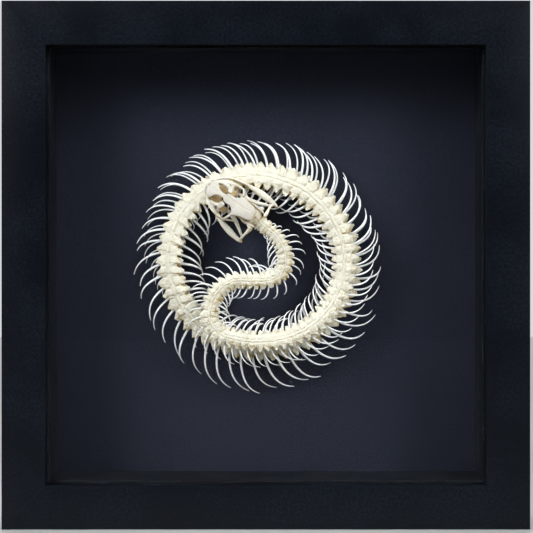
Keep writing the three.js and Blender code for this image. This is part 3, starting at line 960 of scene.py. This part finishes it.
# Bones of one side; the other side mirrors them.
NOSE_FLOOR = (
    (2.0, 1.4, -1.5, 1.0, 0.3),
    (4.4, 2.3, -1.2, 1.9, 0.5),
    (7.6, 2.6, -0.9, 2.3, 0.6),
    (10.4, 2.6, -1.0, 2.0, 0.4),
)
PREFRONTAL_FOOT = (
    (11.2, 2.5, 2.7, 1.2, 0.3),
    (10.9, 4.2, 2.3, 1.5, 0.4),
    (10.8, 5.9, 1.2, 1.35, 0.5),
    (11.2, 7.2, -0.3, 0.9, 0.5),
    (11.5, 8.0, -1.7, 0.7, 0.4),
)
PREFRONTAL_FRONT = (
    (10.9, 4.7, 1.9, 1.0, 0.4),
    (8.9, 5.3, 1.3, 0.9, 0.45),
    (6.8, 5.6, 0.3, 0.8, 0.45),
    (5.0, 5.2, -0.7, 0.5, 0.35),
)
POSTORBITAL = (
    (18.0, 4.9, 2.8, 0.5, 0.35),
    (17.1, 6.2, 2.2, 0.75, 0.45),
    (16.5, 7.5, 1.1, 0.6, 0.45),
    (15.7, 8.5, -0.4, 0.45, 0.4),
    (15.2, 8.9, -1.5, 0.5, 0.35),
)
SUPRATEMPORAL = (
    (21.8, 4.3, 1.6, 0.3, 0.25),
    (23.8, 4.7, 1.7, 0.6, 0.35),
    (26.4, 4.6, 1.5, 0.75, 0.4),
    (28.8, 4.3, 1.2, 0.75, 0.4),
    (30.4, 4.0, 0.9, 0.5, 0.35),
)
PAROCCIPITAL = (
    (26.0, 3.4, 0.5, 1.4, 1.0),
    (27.9, 4.9, 0.6, 1.3, 0.9),
    (29.3, 6.2, 0.5, 0.8, 0.6),
)
MAXILLA = (
    (1.9, 2.9, -2.9, 0.35, 0.35),
    (3.2, 4.3, -2.6, 0.8, 0.8),
    (5.4, 5.9, -2.3, 1.3, 1.05),
    (8.2, 7.2, -2.1, 1.45, 1.15),
    (11.2, 8.3, -2.1, 1.2, 1.05),
    (14.0, 8.9, -2.4, 0.8, 0.8),
    (16.8, 8.8, -2.6, 0.45, 0.45),
)
PALATINE = (
    (5.0, 2.2, -3.0, 0.35, 0.4),
    (7.6, 3.0, -3.0, 0.8, 0.5),
    (10.0, 4.3, -2.9, 2.0, 0.5),
    (12.6, 4.9, -3.0, 2.2, 0.5),
    (14.8, 4.7, -3.1, 1.2, 0.4),
)
PTERYGOID = (
    (13.6, 4.6, -3.3, 0.6, 0.4),
    (16.4, 4.9, -3.3, 1.1, 0.5),
    (19.4, 5.4, -3.4, 1.3, 0.45),
    (22.4, 6.4, -3.5, 1.2, 0.45),
    (25.6, 8.0, -3.5, 0.85, 0.45),
    (28.2, 9.4, -3.6, 0.7, 0.45),
    (29.9, 10.2, -3.8, 0.45, 0.35),
)
ECTOPTERYGOID = (
    (15.2, 8.7, -2.2, 0.5, 0.3),
    (17.2, 8.0, -2.6, 0.6, 0.3),
    (19.2, 6.9, -3.2, 0.45, 0.25),
    (21.2, 6.2, -3.4, 0.4, 0.25),
)
DENTARY = (
    (0.5, 1.0, -4.5, 0.4, 0.4),
    (1.4, 2.6, -4.6, 0.6, 0.65),
    (3.4, 5.2, -4.7, 0.7, 0.8),
    (6.1, 7.6, -4.7, 0.75, 0.95),
    (10.4, 9.4, -4.7, 0.75, 1.0),
    (14.0, 10.3, -4.8, 0.7, 0.85),
    (16.8, 11.0, -4.9, 0.4, 0.5),
)
COMPOUND = (
    (12.6, 10.0, -4.9, 0.4, 0.35),
    (16.0, 10.8, -4.9, 0.95, 0.7),
    (19.4, 11.4, -4.9, 1.5, 0.9),
    (23.0, 11.8, -4.9, 1.95, 1.0),
    (26.4, 12.1, -5.0, 1.75, 1.0),
    (29.2, 12.2, -5.1, 1.25, 0.95),
    (31.6, 12.0, -5.0, 1.0, 1.0),
    (33.2, 11.7, -5.2, 0.6, 0.6),
)
# The two quadrates reach down to jaws that lie a little differently.
QUADRATE = {
    "right": (
        (30.6, 4.4, 1.0, 0.9, 0.35),
        (31.0, 5.6, 0.9, 1.1, 0.45),
        (30.5, 7.4, -0.1, 0.75, 0.45),
        (30.0, 9.3, -1.5, 0.6, 0.5),
        (30.1, 11.0, -3.0, 0.85, 0.6),
        (30.4, 11.9, -3.9, 0.7, 0.5),
    ),
    "left": (
        (29.3, -3.3, 1.4, 1.4, 0.35),
        (29.6, -4.8, 1.2, 1.25, 0.45),
        (29.6, -6.5, 0.3, 0.8, 0.45),
        (29.3, -8.7, -1.3, 0.55, 0.5),
        (29.3, -10.7, -2.9, 0.8, 0.6),
        (29.6, -11.9, -3.8, 0.7, 0.5),
    ),
}
JAW_SPLAY = {"right": 0, "left": math.radians(-1.6)}
JAW_SHARE = {"right": 1, "left": 0.945}
HALVES = (("right", 1), ("left", -1))


# Plates of the roof, as rows of (x, half width, height of the midline), and how they fall away.
NASAL = (
    (0.9, 1.6, 0.6),
    (2.0, 3.5, 1.2),
    (3.4, 4.6, 1.7),
    (4.6, 4.0, 2.0),
    (5.8, 1.9, 2.3),
    (7.4, 1.1, 2.6),
    (10.4, 1.1, 2.8),
)
FRONTAL = (
    (9.9, 1.0, 2.9),
    (10.8, 2.3, 2.9),
    (12.6, 2.5, 2.9),
    (14.6, 2.4, 3.0),
    (16.0, 3.3, 3.1),
    (17.2, 4.4, 3.1),
)
TABLE = (
    (16.5, 4.2, 3.2),
    (17.5, 6.0, 3.3),
    (18.7, 5.3, 3.5),
    (20.8, 4.4, 3.7),
    (23.2, 4.0, 3.7),
    (25.6, 3.5, 3.4),
    (27.4, 2.4, 2.7),
)


OVERLAP = 0.35  # by which the two halves of the roof reach over the midline


def roof_plate(mesh, rows, side, droop, thickness):
    """Half a plate of the roof, from the midline out, which falls away by droop for each y squared."""
    half_width = [(x, width) for x, width, _ in rows]
    crown = [(x, height) for x, _, height in rows]
    front, back = rows[0][0], rows[-1][0]

    def place(length_share, width_share):
        x = front + (back - front) * length_share
        y = -OVERLAP + (along(half_width, x) + OVERLAP) * width_share
        return Vector((x, side * y, along(crown, x) - droop * y * y))

    plate(mesh, 14, 5, place, thickness)


def build_brain_box():
    place = cranium_to_case()
    node = "cranium"
    snout = bmesh.new()
    bar(snout, PREMAXILLA)
    bar(snout, PREMAXILLA_SPINE)
    skull_piece("premaxilla", snout, SKULL_BONE, node, place)
    for name, side in HALVES:
        for bone, rows, droop in (("nasal", NASAL, 0.085), ("frontal", FRONTAL, 0.05)):
            mesh = bmesh.new()
            roof_plate(mesh, rows, side, droop, 0.6)
            if bone == "frontal":
                bar(mesh, mirrored(FRONTAL_WALL, side))
            skull_piece(f"{bone}_{name}", mesh, SKULL_BONE, node, place, levels=1)
        prefrontal = bmesh.new()
        bar(prefrontal, mirrored(PREFRONTAL_FOOT, side))
        bar(prefrontal, mirrored(PREFRONTAL_FRONT, side))
        skull_piece(f"prefrontal_{name}", prefrontal, SKULL_BONE, node, place)
        for bone, stations, material in (
            ("septomaxilla", NOSE_FLOOR, STAIN_AND_SHADE_BONE),
            ("postorbital", POSTORBITAL, SKULL_BONE),
            ("supratemporal", SUPRATEMPORAL, SKULL_BONE),
        ):
            mesh = bmesh.new()
            bar(mesh, mirrored(stations, side))
            skull_piece(f"{bone}_{name}", mesh, material, node, place)
    parietal = bmesh.new()
    bar(parietal, BRAIN_CASE, sides=14)
    bar(parietal, CREST)
    for _, side in HALVES:
        roof_plate(parietal, TABLE, side, 0.045, 1.0)
    skull_piece("parietal", parietal, SKULL_BONE, node, place)
    occipital = bmesh.new()
    bar(occipital, OCCIPITAL, sides=12)
    ball(occipital, (31.3, 0, -0.7), (0.9, 1.2, 0.9))
    for _, side in HALVES:
        bar(occipital, mirrored(PAROCCIPITAL, side))
        ball(occipital, (24.6, side * 4.0, -0.9), (2.5, 1.2, 1.7))
    skull_piece("occipital", occipital, JAW_BONE, node, place)
    underside = bmesh.new()
    bar(underside, PARASPHENOID)
    skull_piece("parasphenoid", underside, STAIN_AND_SHADE_BONE, node, place)


def tooth_row(mesh, stations, count, size, way, start=0.08, end=0.95):
    """Small fangs along a tooth-bearing bar, bent back. way is -1 for teeth that point down."""
    points = [Vector(station[:3]) for station in stations]
    for i in range(count):
        share = (start + (end - start) * i / (count - 1)) * (len(points) - 1)
        leg = min(int(share), len(points) - 2)
        x, y, z = points[leg].lerp(points[leg + 1], share - leg)
        height = stations[leg][4]
        long = size * (1.15 - 0.5 * i / count)
        gum = z + way * height * 0.6
        bar(
            mesh,
            (
                (x, y, gum, 0.24 * size, 0.24 * size),
                (x + 0.12 * long, y, gum + way * 0.5 * long, 0.19 * size, 0.19 * size),
                (x + 0.45 * long, y, gum + way * long, 0.04, 0.04),
            ),
            sides=5,
        )


def build_jaws():
    skull = skull_to_case()
    cranium = cranium_to_case()
    for name, side in HALVES:
        for bone, stations, node, place, teeth in (
            ("maxilla", MAXILLA, "maxilla", cranium, 15),
            ("palatine", PALATINE, "palate", cranium, 6),
            ("pterygoid", PTERYGOID, "palate", skull, 8),
            ("ectopterygoid", ECTOPTERYGOID, "ectopterygoid", cranium, 0),
        ):
            mesh = bmesh.new()
            bar(mesh, mirrored(stations, side))
            material = STAIN_AND_SHADE_BONE if bone == "palatine" else JAW_BONE
            skull_piece(f"{bone}_{name}", mesh, material, f"{node}_{name}", place)
            if teeth:
                row = bmesh.new()
                last = 0.5 if bone == "pterygoid" else 0.95
                size = 1.5 if bone == "maxilla" else 1.0
                tooth_row(row, mirrored(stations, side), teeth, size, -1, end=last)
                skull_piece(f"{bone}_teeth_{name}", row, TOOTH, f"{node}_{name}", place, levels=1)
        quadrate = bmesh.new()
        bar(quadrate, QUADRATE[name])
        skull_piece(f"quadrate_{name}", quadrate, JAW_BONE, f"quadrate_{name}", skull)
        splay = Matrix.Rotation(JAW_SPLAY[name], 4, "Z")
        jaw = skull @ splay @ Matrix.Scale(JAW_SHARE[name], 4)
        dentary = bmesh.new()
        bar(dentary, mirrored(DENTARY, side))
        skull_piece(f"dentary_{name}", dentary, JAW_BONE, f"mandible_{name}", jaw)
        teeth = bmesh.new()
        tooth_row(teeth, mirrored(DENTARY, side), 15, 1.4, 1, end=0.9)
        skull_piece(f"dentary_teeth_{name}", teeth, TOOTH, f"mandible_{name}", jaw, levels=1)
        compound = bmesh.new()
        bar(compound, mirrored(COMPOUND, side))
        skull_piece(f"compound_bone_{name}", compound, JAW_BONE, f"mandible_{name}", jaw)


# ==== The case ====


def shaped_copy(node):
    """A merged copy of a CAD node's mesh, in metres, with its flat faces whole."""
    mesh = bmesh.new()
    mesh.from_mesh(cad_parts[node].data)
    bmesh.ops.remove_doubles(mesh, verts=mesh.verts, dist=0.001 * MM)
    bmesh.ops.dissolve_limit(
        mesh, angle_limit=math.radians(1), verts=mesh.verts, edges=mesh.edges
    )
    return mesh


def round_edges(mesh, edges, width, segments=3):
    """Bevels edges by a width in millimetres."""
    bmesh.ops.bevel(
        mesh,
        geom=edges,
        offset=width * MM,
        offset_type="OFFSET",
        segments=segments,
        profile=0.5,
        affect="EDGES",
        clamp_overlap=True,
        material=-1,
    )


def sharp_edges(mesh):
    return [edge for edge in mesh.edges if edge.calc_face_angle(0) > math.radians(30)]


def long_edges(mesh, axis):
    """Sharp edges along the length of a rail or strip."""
    found = []
    for edge in sharp_edges(mesh):
        way = edge.verts[1].co - edge.verts[0].co
        if abs(way[axis]) > 0.15:
            found.append(edge)
    return found


def close_mitres(mesh, axis):
    """Lengthens a rail or strip at both ends, so that its mitres all but meet."""
    middle = CASE_MIDDLE_Z * MM if axis == 2 else 0
    for vert in mesh.verts:
        from_middle = vert.co[axis] - middle
        if abs(from_middle) > 0.09:
            vert.co[axis] += math.copysign(MITRE_REACH * MM, from_middle)


def finish_case_piece(name, mesh, material, slot, node):
    """Finishes a piece that is in metres already, with its faces flat and its bevels smooth."""
    piece = finish_piece(name, mesh, material, slot, [node], levels=0, unit=1)
    piece.data.set_sharp_from_angle(angle=math.radians(35))


def build_case():
    for side in SIDES:
        axis = 0 if side in ("bottom", "top") else 2
        for cut, name, material, slot, rounding in (
            ("rail", "moulding", BLACK_FOIL, "black_frame", 0.45),
            ("liner", "spacer", LINER_FOIL, "black_liner", 0.25),
        ):
            node = f"{cut}_{side}"
            mesh = shaped_copy(node)
            round_edges(mesh, long_edges(mesh, axis), rounding)
            close_mitres(mesh, axis)
            finish_case_piece(f"{name}_{side}", mesh, material, slot, node)
        for number in (1, 2):
            build_tab(side, number)
    for node, material in (
        ("glass_pane", GLASS),
        ("mount_card", NAVY_CARD),
        ("backing_board", HARDBOARD),
    ):
        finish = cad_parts[node].data.materials
        finish.clear()
        finish.append(material)
    for node in ("hanger_top", "hanger_side"):
        build_hanger(node)


def build_tab(side, number):
    """A strip of soft steel with a rounded free end."""
    node = f"tab_{side}_{number}"
    mesh = shaped_copy(node)
    middle = Vector((0, 0, CASE_MIDDLE_Z * MM))
    corners = [edge for edge in mesh.edges if abs((edge.verts[0].co - edge.verts[1].co).y) > 0.5 * MM]
    inner = 0 if side in ("right", "left") else 2
    corners.sort(key=lambda edge: abs(edge.verts[0].co[inner] - middle[inner]))
    round_edges(mesh, corners[:2], 3, segments=6)
    round_edges(mesh, sharp_edges(mesh), 0.12, segments=2)
    finish_case_piece(f"flexi_{node}", mesh, ZINC, "steel", node)


def build_hanger(node):
    """The hanger's plate with rounded edges, and the two rivets that hold it."""
    mesh = shaped_copy(node)
    round_edges(mesh, sharp_edges(mesh), 0.2, segments=2)
    finish_case_piece(f"{node}_plate", mesh, ZINC, "steel", node)
    low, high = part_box(node)
    middle = (low + high) / 2 / MM
    upright = high.z - low.z < high.x - low.x
    rivets = bmesh.new()
    for side in (-1, 1):
        away = Vector((side * 7.2, 0, -4)) if upright else Vector((-4, 0, side * 7.2))
        ball(rivets, Vector((middle.x, high.y / MM, middle.z)) + away, (1.6, 0.8, 1.6), 16)
    finish_piece(f"{node}_rivets", rivets, ZINC, "steel", [node])


# ==== The stage ====


def build_floor():
    """A plain pale sheet under the case."""
    mesh = bmesh.new()
    bmesh.ops.create_grid(mesh, x_segments=1, y_segments=1, size=FLOOR_HALF)
    bmesh.ops.translate(mesh, vec=(0, 0, -FLOOR_DROP), verts=mesh.verts)
    data = stored("floor", mesh)
    floor = bpy.data.objects.new("floor", data)
    bpy.context.scene.collection.objects.link(floor)
    material, wiring, shader = new_material("floor_paper", Roughness=0.8)
    cloud = wiring.fade(wiring.noise(wiring.object_mm(), 0.004, detail=2), 0.3, 0.7)
    tone = wiring.blend(cloud, (0.8, 0.8, 0.79, 1), (0.76, 0.76, 0.75, 1))
    wiring.feed(shader.inputs["Base Color"], tone)
    data.materials.append(material)


def soft_light(name, place, width, height, power, spread, target):
    """A soft box turned towards its target, with its light kept within a spread of degrees."""
    data = bpy.data.lights.new(name, "AREA")
    data.shape = "RECTANGLE"
    data.size = width
    data.size_y = height
    data.energy = power
    data.color = COOL
    data.spread = math.radians(spread)
    light = bpy.data.objects.new(name, data)
    light.location = place
    aim = Vector(target) - Vector(place)
    light.rotation_euler = aim.to_track_quat("-Z", "Y").to_euler()
    bpy.context.scene.collection.objects.link(light)


def pale_room():
    """Surroundings that look pale behind the case but shed hardly any light on it."""
    world = bpy.data.worlds.new("pale_room")
    world.use_nodes = True
    wiring = Wiring(world.node_tree)
    sky = world.node_tree.nodes["Background"].inputs
    sky["Color"].default_value = (*COOL, 1)
    seen = wiring.add("LightPath", {}).outputs["Is Camera Ray"]
    wiring.feed(sky["Strength"], wiring.sums("MULTIPLY_ADD", seen, 0.7, 0.02))
    return world


def build_stage():
    build_floor()
    for light in LIGHTS:
        soft_light(*light)
    scene = bpy.context.scene
    scene.world = pale_room()
    scene.view_settings.view_transform = "Standard"


def build_camera():
    data = bpy.data.cameras.new("front_camera")
    data.sensor_width = SENSOR
    data.lens = SENSOR * CAMERA_AWAY / VIEW_WIDTH
    data.shift_x = VIEW_MIDDLE[0] / VIEW_WIDTH
    data.shift_y = (VIEW_MIDDLE[1] - CAMERA_HEIGHT) / VIEW_WIDTH
    data.clip_start = 0.02
    camera = bpy.data.objects.new("front_camera", data)
    camera.location = (0, CASE_FRONT_Y * MM - CAMERA_AWAY, CAMERA_HEIGHT)
    camera.rotation_euler = (math.radians(90), 0, 0)
    bpy.context.scene.collection.objects.link(camera)
    bpy.context.scene.camera = camera


build_camera()
build_case()
build_backbone()
build_brain_box()
build_jaws()
build_stage()
